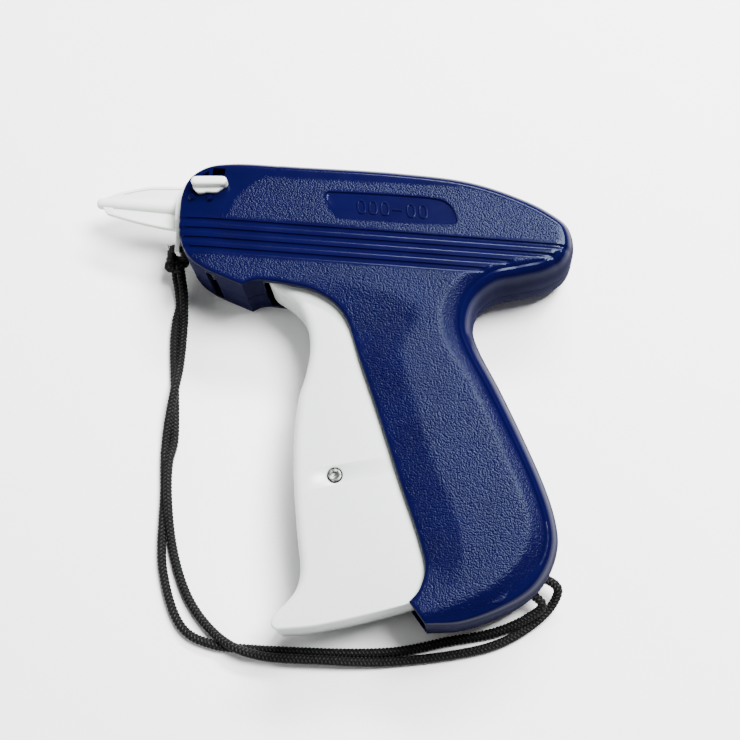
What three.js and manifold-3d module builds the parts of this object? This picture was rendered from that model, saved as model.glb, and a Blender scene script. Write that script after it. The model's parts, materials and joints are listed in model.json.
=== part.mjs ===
// Tagging gun for plastic tag fasteners, lying on its right side.
// Millimetres. +X runs along the needle axis from the muzzle to the back of the body,
// +Y points to the top of the gun, +Z points up from the surface that the right side rests on.
// The origin is under the middle of the gun, on that surface.
import * as THREE from 'three';
import { mergeVertices } from 'three/addons/utils/BufferGeometryUtils.js';
import Module from 'manifold-3d';

const wasm = await Module();
wasm.setup();

// ---------- driving dimensions ----------
const THICK = 28;                 // side face to side face
const MID = THICK / 2;            // parting plane of the two half shells
const WALL = 2.2;                 // shell wall
const GAP = 0.3;                  // clearance between pieces that meet
const PARTING = 0.3;              // gap between the half shells
const AXIS_Y = 60.5;              // needle and plunger axis
const LEVER_SWING = 45.2;         // drive lever travel, degrees

const TRIGGER_PIVOT = [-6, 50];
const LINK = [9.4, -26];          // link pin that joins trigger and drive lever
const LEVER_PIVOT = [22, 7];
const LEVER_ARM = 55.2;           // pivot to the tip that moves the slide
const SPRING_POST = [66, 50];
const FEED_AXLE = [-27.5, 47.2];
const PAWL_PIVOT = [-16, 54.6];
const LOCK_PIVOT = [-41.3, 62.6];
const SCREWS = [[-14, 68], [62, 56.5], [40.5, 15.5], [60, -57.2]];
const BOSS_RADIUS = 3.6;
const HEAD_SEAT = { radius: 2.8, depth: 2.2 };

const TRIGGER_WIDTH = 20;
const TRIGGER_WALL = 2.4;
const PIN_RADIUS = 2;
const LINK_RADIUS = 2.15;
const CLIP_SLOT = [-37.4, -34.2]; // the slot that the fastener clip runs through
const CORD_RADIUS = 1.3;

// ---------- colours ----------
const finish = (color, roughness, metalness = 0) => (
  new THREE.MeshStandardMaterial({ color, roughness, metalness })
);
const BLUE = finish(0x10195c, 0.4);
const WHITE = finish(0xe9ece8, 0.45);
const STEEL = finish(0x9a9c9e, 0.35, 1);
const BLACK = finish(0x101012, 0.9);

// ---------- helpers ----------
const deg = THREE.MathUtils.degToRad;

function solid(geometry) {
  const bare = geometry.clone();
  bare.deleteAttribute('normal');
  bare.deleteAttribute('uv');
  const merged = mergeVertices(bare, 1e-4);
  return new wasm.Manifold(new wasm.Mesh({
    numProp: 3,
    vertProperties: new Float32Array(merged.attributes.position.array),
    triVerts: new Uint32Array(merged.index.array),
  }));
}

function geometryOf(manifold) {
  const mesh = manifold.getMesh();
  const geometry = new THREE.BufferGeometry();
  geometry.setAttribute('position', new THREE.BufferAttribute(new Float32Array(mesh.vertProperties), 3));
  geometry.setIndex(new THREE.BufferAttribute(new Uint32Array(mesh.triVerts), 1));
  return geometry;
}

const join = (...parts) => parts.map(solid).reduce((sum, part) => sum.add(part));
const cut = (base, ...tools) => tools.map(solid).reduce((rest, tool) => rest.subtract(tool), base);

function box([x0, x1], [y0, y1], [z0, z1]) {
  const geometry = new THREE.BoxGeometry(x1 - x0, y1 - y0, z1 - z0);
  return geometry.translate((x0 + x1) / 2, (y0 + y1) / 2, (z0 + z1) / 2);
}

function prism(points, z0, z1) {
  const shape = new THREE.Shape(points.map(([x, y]) => new THREE.Vector2(x, y)));
  return new THREE.ExtrudeGeometry(shape, { depth: z1 - z0, bevelEnabled: false }).translate(0, 0, z0);
}

// a round bar along Z
function post([x, y], radius, z0, z1, sides = 16) {
  const geometry = new THREE.CylinderGeometry(radius, radius, z1 - z0, sides);
  return geometry.rotateX(Math.PI / 2).translate(x, y, (z0 + z1) / 2);
}

// a round bar between two points
function bar(from, to, radius, sides = 12) {
  const start = new THREE.Vector3(...from);
  const end = new THREE.Vector3(...to);
  const axis = end.clone().sub(start);
  const geometry = new THREE.CylinderGeometry(radius, radius, axis.length(), sides);
  const turn = new THREE.Quaternion().setFromUnitVectors(new THREE.Vector3(0, 1, 0), axis.clone().normalize());
  return geometry.applyQuaternion(turn).translate(...start.add(end).multiplyScalar(0.5).toArray());
}

// two round ends joined by straight flanks
function strap([ax, ay], ra, [bx, by], rb, z0, z1) {
  const shape = new THREE.Shape();
  const heading = Math.atan2(by - ay, bx - ax);
  const lean = Math.acos((ra - rb) / Math.hypot(bx - ax, by - ay));
  shape.absarc(ax, ay, ra, heading + lean, heading - lean + 2 * Math.PI);
  shape.absarc(bx, by, rb, heading - lean, heading + lean);
  return new THREE.ExtrudeGeometry(shape, { depth: z1 - z0, bevelEnabled: false, curveSegments: 8 })
    .translate(0, 0, z0);
}

// An outline runs counterclockwise through its segments. Each point has x, y and the width of
// the rounded border there; a segment with open set has no wall.
function sampleOutline(segments) {
  const ring = [];
  for (const { points, steps, open = false } of segments) {
    const curve = new THREE.CatmullRomCurve3(points.map((p) => new THREE.Vector3(...p)), false, 'centripetal');
    const samples = curve.getSpacedPoints(steps);
    samples.slice(0, -1).forEach(({ x, y, z }) => ring.push({ x, y, border: z, open }));
  }
  ring.forEach((point, i) => {
    const before = ring[(i + ring.length - 1) % ring.length];
    const after = ring[(i + 1) % ring.length];
    const a = new THREE.Vector2(point.x - before.x, point.y - before.y).normalize();
    const b = new THREE.Vector2(after.x - point.x, after.y - point.y).normalize();
    const inward = new THREE.Vector2(-a.y - b.y, a.x + b.x).normalize();
    point.inward = inward.divideScalar(Math.max(0.6, inward.x * -a.y + inward.y * a.x));
  });
  return ring;
}

// A plate with the outline's rounded borders on both faces, shrunk by inset all round.
function roundedPlate(ring, { low, high, inset = () => 0, rise = 1, arcSteps = 3 }) {
  const levels = [];
  for (let k = 0; k <= arcSteps; k += 1) {
    levels.push({ angle: (Math.PI / 2) * (1 - k / arcSteps), top: false });
  }
  for (let k = 0; k <= arcSteps; k += 1) {
    levels.push({ angle: (Math.PI / 2) * (k / arcSteps), top: true });
  }
  const positions = [];
  for (const { angle, top } of levels) {
    for (const point of ring) {
      const shift = inset(point) + point.border * (1 - Math.cos(angle));
      const fall = point.border * rise * (1 - Math.sin(angle));
      const z = top ? high - fall : low + fall;
      positions.push(point.x + point.inward.x * shift, point.y + point.inward.y * shift, z);
    }
  }
  const count = ring.length;
  const index = [];
  for (let level = 0; level < levels.length - 1; level += 1) {
    for (let i = 0; i < count; i += 1) {
      const j = (i + 1) % count;
      const a = level * count + i;
      const b = level * count + j;
      index.push(a, b, b + count, a, b + count, a + count);
    }
  }
  const lastLevel = (levels.length - 1) * count;
  const capShape = (start) => ring.map((_, i) => (
    new THREE.Vector2(positions[(start + i) * 3], positions[(start + i) * 3 + 1])
  ));
  for (const [a, b, c] of THREE.ShapeUtils.triangulateShape(capShape(0), [])) {
    index.push(a, c, b);
  }
  for (const [a, b, c] of THREE.ShapeUtils.triangulateShape(capShape(lastLevel), [])) {
    index.push(lastLevel + a, lastLevel + b, lastLevel + c);
  }
  const geometry = new THREE.BufferGeometry();
  geometry.setAttribute('position', new THREE.Float32BufferAttribute(positions, 3));
  geometry.setIndex(index);
  return geometry;
}

const gun = new THREE.Group();
function add(name, shape, material) {
  const geometry = shape instanceof THREE.BufferGeometry ? shape : geometryOf(shape);
  const mesh = new THREE.Mesh(geometry, material);
  mesh.name = name;
  gun.add(mesh);
}

// ---------- housing ----------
const housingOutline = sampleOutline([
  { // nose, from the muzzle face to the lowest corner
    steps: 8,
    points: [[-47.9, 54, 0.8], [-47.1, 47, 0.8], [-43.5, 39.8, 0.8], [-38, 35.9, 0.8],
      [-31.5, 33.3, 0.8], [-24.8, 31, 0.8]],
  },
  { // lip over the trigger, then the front edge of the handle
    steps: 22,
    points: [[-24.8, 31, 0.8], [-22, 32.6, 0.8], [-18.5, 33.2, 0.8], [-10, 32.5, 0.8], [-2, 31, 0.8],
      [4.7, 27.4, 0.8], [9.1, 22, 0.8], [14.1, 9.8, 0.8], [21.9, -8.6, 0.8], [29.5, -27.4, 0.8],
      [36.6, -44.2, 0.8], [38.9, -52.5, 0.8], [37.6, -59, 0.8], [35, -62.6, 0.8]],
  },
  { // front corner of the foot
    steps: 2,
    points: [[35, -62.6, 0.8], [38.2, -66.4, 0.8], [40.3, -68.9, 0.8]],
  },
  { // foot, back of the handle, overhang, tail, top and muzzle face
    steps: 50,
    points: [[40.3, -68.9, 0.8], [50.4, -67.7, 1.6], [62.1, -62.9, 2.4], [71.5, -56.6, 3.4],
      [76.2, -49.5, 4], [78.04, -41.4, 4.2], [76.9, -34, 4.3], [73.2, -24.1, 4.3], [65.6, -9, 4.4],
      [57.6, 5.5, 4.6], [50.5, 17.5, 4.7], [47.9, 24.5, 4.8], [49, 31.5, 4.8], [54.3, 36.6, 4.8],
      [62, 39, 4.8], [70, 41.6, 4.6], [75.6, 45.8, 4.4], [77.6, 52, 4.2], [75.6, 58.8, 4],
      [69.4, 63.4, 3.8], [59.7, 67.6, 3.6], [43.5, 72, 3.6], [21, 73.5, 3.4], [-11.3, 73.5, 3.2],
      [-33, 72.9, 2.6], [-41, 70.4, 1.4], [-46, 66.2, 0.9], [-47.9, 60.5, 0.8], [-47.9, 54, 0.8]],
  },
]);

const BORDER_RISE = 2.2;          // the rounded border is this many times higher than wide
const FACE = { groove: 0.55, panel: 0.45 };
const RIB_TILT = deg(-1.2);       // the grooves fall slightly towards the tail
const GROOVE_PITCH = 3.1;
const GROOVE_WIDTH = 1.5;
const GROOVE_TOP = 51.8;          // centre of the first groove at x = 0
const GROOVE_ENDS = [74.5, 70, 57.5, 49.7];

// four long grooves in one side face
function grooves(z0, z1) {
  return GROOVE_ENDS.map((end, row) => {
    const start = -52;
    const strip = box([start, end], [-GROOVE_WIDTH / 2, GROOVE_WIDTH / 2], [z0, z1]);
    return strip.rotateZ(RIB_TILT).translate(0, GROOVE_TOP - row * GROOVE_PITCH, 0);
  });
}

// the shallow panel in one side face, round at its tail end
function panel(z0, z1) {
  const shape = new THREE.Shape();
  shape.moveTo(3, 55.2);
  shape.lineTo(36, 55.2);
  shape.absarc(36.2, 59.5, 4.3, -Math.PI / 2, Math.PI / 2);
  shape.lineTo(-1, 63.9);
  shape.quadraticCurveTo(-2.6, 62.6, -1.4, 61);
  return new THREE.ExtrudeGeometry(shape, { depth: z1 - z0, bevelEnabled: false, curveSegments: 8 })
    .translate(0, 0, z0);
}

const shellWall = () => WALL;
const mouth = [                   // the trigger passes between the side plates here
  [-19.6, 28], [-19.6, 38], [2, 38], [12, 30], [19, 12], [26.8, -7], [34.3, -25.5], [41.2, -42],
  [43.3, -51], [43, -58], [41.4, -65.2], [38.6, -69.5], [25, -75], [-14, -75], [-14, 24],
];

const inner = [WALL, THICK - WALL];
const bothSides = (reach, make) => [make(inner[0] - 0.5, reach), make(THICK - reach, inner[1] + 0.5)];

const housingBosses = [
  ...SCREWS.map((at) => post(at, BOSS_RADIUS, 1.5, THICK - 1.5)),
  ...bothSides(3.9, (z0, z1) => post(TRIGGER_PIVOT, 4.4, z0, z1)),
  ...bothSides(10, (z0, z1) => post(FEED_AXLE, 3.2, z0, z1)),
  ...bothSides(11, (z0, z1) => post(PAWL_PIVOT, 2.7, z0, z1)),
  post(SPRING_POST, 2, 1.5, THICK - 1.5),
  ...bothSides(8.8, (z0, z1) => box([2.5, 52], [53.6, 54.9], [z0, z1])),
  ...bothSides(8.8, (z0, z1) => box([-9, 52], [66.6, 67.8], [z0, z1])),
  box([-46, -39.6], [54.6, 55.9], [8.5, 19.5]),
  box([-46, -39.6], [65.1, 66.4], [8.5, 19.5]),
];

const housingCuts = [
  ...grooves(-1, FACE.groove),
  ...grooves(THICK - FACE.groove, THICK + 1),
  panel(-1, FACE.panel),
  panel(THICK - FACE.panel, THICK + 1),
  box(CLIP_SLOT, [66, 76], [7, 23]),
  box(CLIP_SLOT, [28, 42], [7, 25.4]),
  box([-52, -42], [AXIS_Y - 4.3, AXIS_Y + 4.3], [MID - 4.3, MID + 4.3]),
  post(TRIGGER_PIVOT, PIN_RADIUS + GAP, 1.2, THICK - 1.2),
  post(FEED_AXLE, 1.8, 2.6, THICK - 2.6, 12),
  post(PAWL_PIVOT, 1.5, 2.6, THICK - 2.6, 12),
  ...SCREWS.map((at) => post(at, 1.5, 1, 23.4, 12)),
];

const outerShell = solid(roundedPlate(housingOutline, { low: 0, high: THICK, rise: BORDER_RISE }));
const hollow = roundedPlate(housingOutline, {
  low: WALL, high: THICK - WALL, rise: BORDER_RISE, inset: shellWall, arcSteps: 2,
});
const bosses = join(...housingBosses).intersect(outerShell);
const housing = cut(outerShell, hollow, prism(mouth, ...inner)).add(bosses);
const openHousing = cut(housing, ...housingCuts);

const lockWindows = [
  box([-38.3, -34.4], [66.9, 69.7], [22, THICK + 1]),
  prism([[-41.9, 67], [-39.6, 67], [-39.6, 68.7]], 24, THICK + 1),
];
const DETENTS = [[-44.3, 59.5], [-38.2, 59.4]];
const detents = DETENTS.map(([x, y]) => (
  new THREE.SphereGeometry(1.1, 12, 8).translate(x, y, THICK - 0.1)
));
const leftBlank = openHousing.intersect(solid(box([-90, 90], [-90, 90], [MID + PARTING / 2, 40])));
const leftCut = cut(leftBlank, ...lockWindows, post(LOCK_PIVOT, 2.2, 20, THICK + 1));
add('left_housing', detents.map(solid).reduce((sum, part) => sum.add(part), leftCut), BLUE);

// the lanyard runs in through one hole of the handle's lower back corner and out through the other
const LANYARD_IN = [[75.4, -58.6, 8], [70.2, -52.9, 8]];
const LANYARD_OUT = [[71.2, -50.1, 8], [79, -50.9, 8]];
const rightBlank = openHousing.intersect(solid(box([-90, 90], [-90, 90], [-20, MID - PARTING / 2])));
add('right_housing', cut(
  rightBlank,
  ...SCREWS.map((at) => post(at, HEAD_SEAT.radius, -1, HEAD_SEAT.depth)),
  bar(...LANYARD_IN, 2),
  bar(...LANYARD_OUT, 2),
), BLUE);

SCREWS.forEach(([x, y], i) => {
  const profile = [[0, 0.5], [1.8, 0.5], [2.4, 1], [2.4, 1.9], [1.15, 1.9], [1.15, 20], [0, 21.5]];
  const screw = new THREE.LatheGeometry(profile.map(([r, z]) => new THREE.Vector2(r, z)), 12);
  add(`housing_screw_${i + 1}`, screw.rotateX(Math.PI / 2).translate(x, y, 0), STEEL);
});

// ---------- trigger ----------
const triggerOutline = sampleOutline([
  { // left side of the ears, open
    steps: 8,
    open: true,
    points: [[-6, 56.4, 0.3], [-10.6, 54.4, 0.3], [-12.4, 50, 0.3], [-13.5, 45.5, 0.3],
      [-17, 41.5, 0.3], [-18.6, 37.5, 0.6]],
  },
  { // finger side, from the upper tip to the toe
    steps: 30,
    points: [[-18.6, 37.5, 0.6], [-16.6, 33.6, 2.4], [-12, 30.6, 3], [-7.6, 27.2, 3], [-4.4, 22.3, 3],
      [-2.7, 17, 3], [-2.2, 11.5, 3], [-2.9, 4.5, 3], [-4.2, -2, 3], [-4.5, -11.6, 3], [-3.8, -22.6, 3],
      [-2.6, -32, 3], [-0.2, -45.6, 3], [1.3, -53, 3], [1.7, -57, 2.8], [0.9, -61.4, 2.2],
      [-1.7, -65.6, 1.6], [-4.9, -69.8, 1], [-5.3, -72.4, 0.8], [-3.6, -73.7, 0.8]],
  },
  { // underside
    steps: 5,
    points: [[-3.6, -73.7, 0.8], [7.3, -71.8, 0.8], [22, -67.4, 0.6], [36.4, -62.3, 0.3]],
  },
  { // inside the handle and up to the ears, open
    steps: 16,
    open: true,
    points: [[36.4, -62.3, 0.3], [39.2, -57, 0.3], [40.2, -51, 0.3], [38, -43, 0.3], [31, -26.5, 0.3],
      [23.8, -8, 0.3], [16.6, 10, 0.3], [12.4, 21, 0.3], [7.4, 31, 0.3], [2, 43, 0.3], [0.4, 50, 0.3],
      [-1.4, 54.4, 0.3], [-6, 56.4, 0.3]],
  },
]);
const triggerLow = MID - TRIGGER_WIDTH / 2;
const triggerHigh = MID + TRIGGER_WIDTH / 2;
const triggerBody = solid(roundedPlate(triggerOutline, { low: triggerLow, high: triggerHigh }));
const insideTrigger = triggerOutline.filter((point) => !point.open).map(({ x, y, inward }) => (
  [x + inward.x * TRIGGER_WALL, y + inward.y * TRIGGER_WALL]
));
const triggerHollow = prism(
  [...insideTrigger, [48, -60], [48, 62], [-26, 62], [-26, 39]],
  triggerLow + TRIGGER_WALL,
  triggerHigh - TRIGGER_WALL,
);
add('trigger', cut(
  triggerBody,
  triggerHollow,
  post(TRIGGER_PIVOT, PIN_RADIUS + GAP, 0, THICK),
  post(LINK, LINK_RADIUS + GAP, 0, THICK),
), WHITE);
add('trigger_pivot_pin', post(TRIGGER_PIVOT, PIN_RADIUS, 1.5, THICK - 1.5), STEEL);
add('link_pin', post(LINK, LINK_RADIUS, triggerLow + 0.2, triggerHigh - 0.2), STEEL);

// ---------- drive lever and its bracket ----------
const restAngle = deg(90 - LEVER_SWING / 2);
const onLever = (distance, angle) => [
  LEVER_PIVOT[0] + distance * Math.cos(angle),
  LEVER_PIVOT[1] + distance * Math.sin(angle),
];
const leverTip = onLever(LEVER_ARM, restAngle);
const linkHeading = Math.atan2(LINK[1] - LEVER_PIVOT[1], LINK[0] - LEVER_PIVOT[0]);
const leverFace = [12, 16];
const SLOT_RADIUS = LINK_RADIUS + 1.6;
add('drive_lever', cut(
  join(
    strap(LEVER_PIVOT, 6, onLever(45, restAngle), 2.4, ...leverFace),
    strap(onLever(42, restAngle), 1.6, leverTip, 2, ...leverFace),
    strap(LEVER_PIVOT, 6, onLever(36.6, linkHeading), SLOT_RADIUS + 2.2, ...leverFace),
    strap(onLever(37, restAngle), 3, [39.6, 41.4], 2.2, ...leverFace),
  ),
  post(LEVER_PIVOT, PIN_RADIUS + GAP, 0, THICK),
  strap(onLever(26, linkHeading), SLOT_RADIUS, onLever(36.6, linkHeading), SLOT_RADIUS - 0.01, 0, THICK),
  post([39.6, 41.4], 1, 0, THICK, 8),
), WHITE);

const BRACKET_SCREW = SCREWS[2];
const cheek = (z0, z1) => strap(BRACKET_SCREW, 6, LEVER_PIVOT, 4.6, z0, z1);
add('lever_bracket', cut(
  join(cheek(8.4, 10.6), cheek(17.4, 19.6), box([31.6, 33.8], [7.6, 14], [10, 18])),
  post(LEVER_PIVOT, PIN_RADIUS + GAP, 0, THICK),
  post(BRACKET_SCREW, BOSS_RADIUS + GAP, 0, THICK),
), STEEL);
add('lever_pivot_pin', post(LEVER_PIVOT, PIN_RADIUS, 7.4, 20.6), STEEL);

const hooked = [[42.6, 42.2, MID], [63.2, 49.1, MID]];
add('return_spring', cut(solid(bar(...hooked, 2.7)), bar([36, 40.03, MID], [69.1, 51.07, MID], 2)), STEEL);

// ---------- plunger ----------
const slideX = leverTip[0];
const SLIDE_HALF = 7;
const SLIDE_SLOT = 3.3;
add('plunger_slide', cut(
  solid(box([slideX - SLIDE_HALF, slideX + SLIDE_HALF], [55.3, 66.2], [9.4, 18.6])),
  box([slideX - SLIDE_SLOT, slideX + SLIDE_SLOT], [50, 64.9], [0, THICK]),
  bar([slideX - 12, AXIS_Y, MID], [slideX - 3.8, AXIS_Y, MID], 0.9, 8),
), WHITE);
const plungerTipX = -31.4;
add('plunger_rod', bar([plungerTipX, AXIS_Y, MID], [slideX - 4.2, AXIS_Y, MID], 0.55, 8), STEEL);

// ---------- needle and nose pieces ----------
const NEEDLE = { tip: -75, back: -40.2, outer: 1.2, inner: 0.8, slit: 0.35 };
function needleTube() {
  const shape = new THREE.Shape();
  const open = Math.asin(NEEDLE.slit / NEEDLE.outer);
  const openInside = Math.asin(NEEDLE.slit / NEEDLE.inner);
  shape.absarc(0, 0, NEEDLE.outer, -Math.PI / 2 + open, 1.5 * Math.PI - open);
  shape.absarc(0, 0, NEEDLE.inner, 1.5 * Math.PI - openInside, -Math.PI / 2 + openInside, true);
  const length = NEEDLE.back - NEEDLE.tip;
  const tube = new THREE.ExtrudeGeometry(shape, { depth: length, bevelEnabled: false, curveSegments: 16 });
  return tube.rotateY(Math.PI / 2).rotateX(Math.PI).translate(NEEDLE.tip, AXIS_Y, MID);
}
add('needle', needleTube(), STEEL);
add('needle_base', cut(
  solid(box([-46.6, -39.9], [AXIS_Y - 4, AXIS_Y + 4], [MID - 4, MID + 4])),
  bar([-50, AXIS_Y, MID], [-38, AXIS_Y, MID], 1.5),
  box([-50, -38], [AXIS_Y - 6, AXIS_Y], [MID - 0.5, MID + 0.5]),
), WHITE);

add('clip_guide', cut(
  solid(box([CLIP_SLOT[0] - 1.5, CLIP_SLOT[1] + 1.3], [40, 68.6], [4.6, 21.4])),
  box(CLIP_SLOT, [30, 80], [6.2, 19.8]),
  bar([-42, AXIS_Y, MID], [-30, AXIS_Y, MID], 1.1),
  box([CLIP_SLOT[1] - 0.5, -30], [41, 54.6], [10.2, 17.8]),
), WHITE);
add('cutter_blade', prism([[-32.5, 55.4], [-31.7, 55.4], [-31.7, 58.2], [-32.5, 59.4]], 11.5, 16.5), STEEL);

const FEED_TEETH = 12;
function feedWheelShape() {
  const shape = new THREE.Shape();
  for (let tooth = 0; tooth < FEED_TEETH; tooth += 1) {
    const turn = (tooth / FEED_TEETH) * 2 * Math.PI;
    const step = (2 * Math.PI) / FEED_TEETH;
    const corners = [[5.6, 0], [7, 0.12], [7, 0.3], [5.6, 0.72]];
    for (const [radius, phase] of corners) {
      const angle = turn + phase * step;
      const move = tooth === 0 && phase === 0 ? 'moveTo' : 'lineTo';
      shape[move](radius * Math.cos(angle), radius * Math.sin(angle));
    }
  }
  return shape;
}
const wheelBlank = new THREE.ExtrudeGeometry(feedWheelShape(), { depth: 6, bevelEnabled: false })
  .translate(...FEED_AXLE, 11);
add('feed_wheel', cut(solid(wheelBlank), post(FEED_AXLE, 1.8, 0, THICK, 12)), WHITE);
add('feed_wheel_axle', post(FEED_AXLE, 1.5, 3, THICK - 3, 12), STEEL);

const pawlTip = [-21.6, 53.2];
add('feed_pawl', cut(
  solid(strap(PAWL_PIVOT, 2.8, pawlTip, 0.7, 12, 16)),
  post(PAWL_PIVOT, 1.5, 0, THICK, 12),
), WHITE);
add('pawl_pin', post(PAWL_PIVOT, 1.2, 3, THICK - 3, 12), STEEL);

// ---------- lock lever ----------
const leverBase = [THICK + 0.3, THICK + 1.7];
add('lock_lever', join(
  strap([-42.7, 63.5], 1.6, [-33.8, 64.1], 1.6, leverBase[0], THICK + 4.2),
  prism([[-43.9, 63.4], [-43.6, 62.1], [-42, 60.5], [-36, 61.2], [-34.9, 61.9], [-34.4, 63.6]], ...leverBase),
  post(LOCK_PIVOT, 1.9, 18.4, THICK + 1, 12),
), WHITE);
add('lock_clip', cut(solid(post(LOCK_PIVOT, 2.9, 22.4, 23.6)), post(LOCK_PIVOT, 2.2, 20, 30, 12)), STEEL);

// ---------- needle cap ----------
const CAP = { tip: -78, seat: -48.3, column: 2.75, tipRadius: 1.85, bore: 1.75, boreTip: 1.5 };
function capColumn() {
  const profile = [[0, CAP.tip], [1.1, CAP.tip + 0.2], [CAP.tipRadius, CAP.tip + 1.2],
    [CAP.column, CAP.seat - 1], [0, CAP.seat - 1]];
  const column = new THREE.LatheGeometry(profile.map(([r, x]) => new THREE.Vector2(r, x)), 16);
  return column.rotateZ(-Math.PI / 2).translate(0, AXIS_Y, MID);
}
function capBore() {
  const profile = [[0, CAP.tip + 2.2], [CAP.boreTip, CAP.tip + 2.6], [CAP.bore, CAP.seat + 4], [0, CAP.seat + 4]];
  const bore = new THREE.LatheGeometry(profile.map(([r, x]) => new THREE.Vector2(r, x)), 12);
  return bore.rotateZ(-Math.PI / 2).translate(0, AXIS_Y, MID);
}
const capFins = prism([[-49.6, 67.9], [-60.4, 67.3], [-65, 66.2], [-71, 64.4], [-75.4, 62.2], [-75.4, 58.4],
  [-74, 56.8], [-65.7, 54.9], [-56.2, 53.3], [-49.6, 52.6]], MID - 1.2, MID + 1.2);
const capFlange = prism([[-50, 44.8], [-48.6, 44.8], [-48.3, 53], [-48.3, 60.6], [-46.5, 66.5], [-44.9, 68.3],
  [-46.4, 69.4], [-48.9, 66.4], [-50.5, 61], [-50.4, 57], [-49.9, 52]], MID - 9, MID + 9);
add('needle_cap', cut(
  join(capColumn(), capFins, capFlange),
  capBore(),
  bar([-53, 47.2, 9], [-46, 47.2, 9], 1.7),
), WHITE);

// ---------- lanyard ----------
const CORD_ROUTE = [
  [-48.8, 36.6, 6.6], [-48.2, 31.5, 3.3], [-47.4, 24.5, 1.5], [-46.4, 10.5, 2.7], [-46.7, 2.9, 4.2],
  [-47.5, -5, 3.6], [-48, -16.5, 1.5], [-46.5, -30.5, 1.5], [-43.9, -55.8, 1.5], [-35.5, -73.4, 1.5],
  [-26.6, -77.4, 1.5], [-12.5, -78, 1.5], [30, -75.3, 1.5], [47.3, -70.6, 1.5], [60.5, -67, 1.8],
  [70.5, -62, 4.2], [74.8, -58, 7.4], [71.6, -55, 8], [68.6, -52.2, 8], [72.2, -50, 8],
  [76.5, -50.6, 8], [79.2, -52.6, 6.8], [77.6, -57.8, 3.4], [70.5, -65, 1.5], [59.5, -71.4, 1.5],
  [30, -78.3, 1.7], [8.2, -79.8, 3.5], [-10, -80, 3.7], [-19, -77.9, 4.1], [-27.5, -72.4, 2],
  [-34.8, -64, 1.5], [-41.2, -50, 1.5], [-44.8, -33, 3.8], [-46, -21.5, 2.8], [-45.4, -14.5, 1.5],
  [-47.4, 3.6, 1.5], [-49.8, 19, 1.5], [-50.4, 26.5, 1.5], [-51, 32, 3.3], [-51.6, 36.6, 6.6],
];
const cordPath = new THREE.CatmullRomCurve3(
  CORD_ROUTE.map((p) => new THREE.Vector3(...p)),
  false,
  'centripetal',
);
const cordSection = new THREE.Shape();
for (let side = 0; side < 8; side += 1) {
  const angle = (side / 8) * 2 * Math.PI;
  const move = side === 0 ? 'moveTo' : 'lineTo';
  cordSection[move](CORD_RADIUS * Math.cos(angle), CORD_RADIUS * Math.sin(angle));
}
const cord = new THREE.ExtrudeGeometry(cordSection, { steps: 80, bevelEnabled: false, extrudePath: cordPath });
add('lanyard_cord', cord, BLACK);
add('cord_knot', new THREE.SphereGeometry(1, 14, 10).scale(3.8, 3.2, 3.7).translate(-50.6, 41.2, 8.6), BLACK);

export default gun;
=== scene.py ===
# The tagging gun's looks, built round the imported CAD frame. Blender 4.5.
# The gun lies on its right side: +X from the muzzle to the back, +Y to its top, +Z up.
import json
import math

import bmesh
import bpy
import numpy as np
from mathutils import Matrix, Vector
from mathutils.geometry import delaunay_2d_cdt


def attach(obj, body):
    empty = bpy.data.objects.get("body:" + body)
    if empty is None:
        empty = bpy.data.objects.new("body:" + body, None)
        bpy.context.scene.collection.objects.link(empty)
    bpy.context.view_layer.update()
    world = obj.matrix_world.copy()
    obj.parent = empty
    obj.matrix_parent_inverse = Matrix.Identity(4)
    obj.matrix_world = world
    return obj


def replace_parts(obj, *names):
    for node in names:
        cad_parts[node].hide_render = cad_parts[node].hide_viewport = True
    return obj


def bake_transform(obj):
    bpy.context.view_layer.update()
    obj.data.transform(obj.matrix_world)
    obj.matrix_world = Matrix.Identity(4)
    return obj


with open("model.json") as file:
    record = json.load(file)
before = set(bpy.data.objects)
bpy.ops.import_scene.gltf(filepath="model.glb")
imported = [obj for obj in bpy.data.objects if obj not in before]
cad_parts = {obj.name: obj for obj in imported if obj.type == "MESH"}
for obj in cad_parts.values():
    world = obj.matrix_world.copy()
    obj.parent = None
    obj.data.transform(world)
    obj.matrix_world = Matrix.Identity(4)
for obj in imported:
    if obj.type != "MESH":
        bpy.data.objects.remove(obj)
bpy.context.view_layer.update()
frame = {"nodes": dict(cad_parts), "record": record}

scene = bpy.context.scene
rng = np.random.default_rng(7)

MM = 0.001          # sizes are in millimetres, apart from those of the floor and the lights
THICK = 28.0        # the housing, from the floor to its top
MID = THICK / 2     # the parting plane, and the needle's height
WALL = 2.2
PARTING = 0.3       # the gap between the half shells
AXIS_Y = 60.5       # the needle's axis


# ---------- camera, floor and lights ----------
CAMERA = {
    "place": (53.30, -116.05, 474.0), "right": (0.9946, 0.0876, -0.0557),
    "forward": (-0.0771, 0.2643, -0.9614), "sensor": 36, "lens": 73.9,
}
FLOOR_REACH = 3.0
FLOOR_DROP = 0.0002  # keeps the floor clear of the faces that rest on it
WORLD_STRENGTH = 0.17
LIGHTS = {  # place, size and watts; each lamp faces the origin
    "key_softbox": ((0.36, 0.30, 0.90), (0.36, 0.4), 39),
    "back_softbox": ((0.22, 0.70, 0.68), (0.6, 0.14), 24),
    "left_fill": ((-0.9, -0.1, 0.40), (0.5, 0.5), 4),
}


def add_object(name, data):
    obj = bpy.data.objects.new(name, data)
    scene.collection.objects.link(obj)
    return obj


def make_camera():
    data = bpy.data.cameras.new("camera")
    camera = add_object("camera", data)
    right = Vector(CAMERA["right"]).normalized()
    forward = Vector(CAMERA["forward"]).normalized()
    up = right.cross(forward).normalized()
    right = forward.cross(up).normalized()
    turn = Matrix((right, up, -forward)).transposed()
    camera.matrix_world = Matrix.Translation(Vector(CAMERA["place"]) * MM) @ turn.to_4x4()
    data.sensor_width = CAMERA["sensor"]
    data.lens = CAMERA["lens"]
    data.clip_start = 0.01
    scene.camera = camera


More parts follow.
